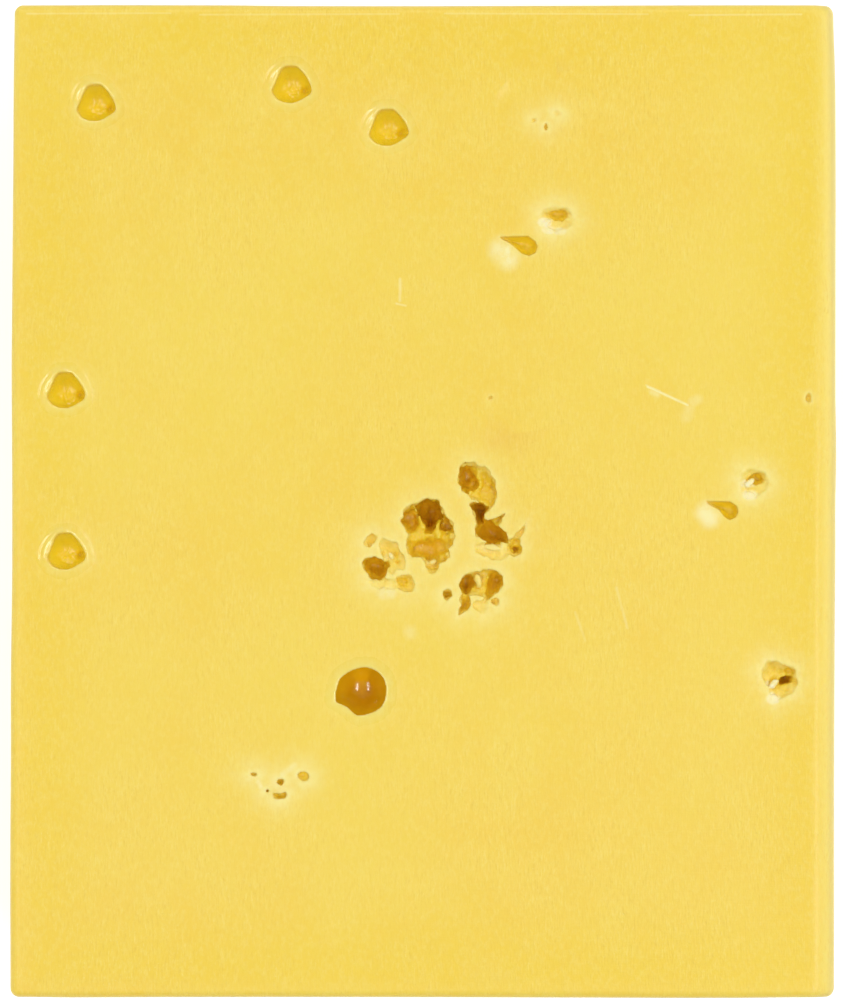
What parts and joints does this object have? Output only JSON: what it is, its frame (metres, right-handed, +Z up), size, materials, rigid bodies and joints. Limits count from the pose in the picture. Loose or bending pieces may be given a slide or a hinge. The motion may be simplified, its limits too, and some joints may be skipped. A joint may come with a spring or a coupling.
{
  "type": "cheese block",
  "caption": "Flat rectangular block of yellow semi-hard cheese with round eyes and torn gas holes, cut on all sides and lying on its broad face.",
  "frame": {"origin": "centre of the flat underside that the block rests on", "axes": "+Y along the long side, +X along the short side, +Z up out of the broad face that carries the torn cluster of eyes"},
  "size_m": [0.1, 0.12, 0.03],
  "materials": {
    "cheese": "satin, slightly moist"
  },
  "bodies": {
    "root": {"cheese_block": "cheese"}
  },
  "joints": []
}
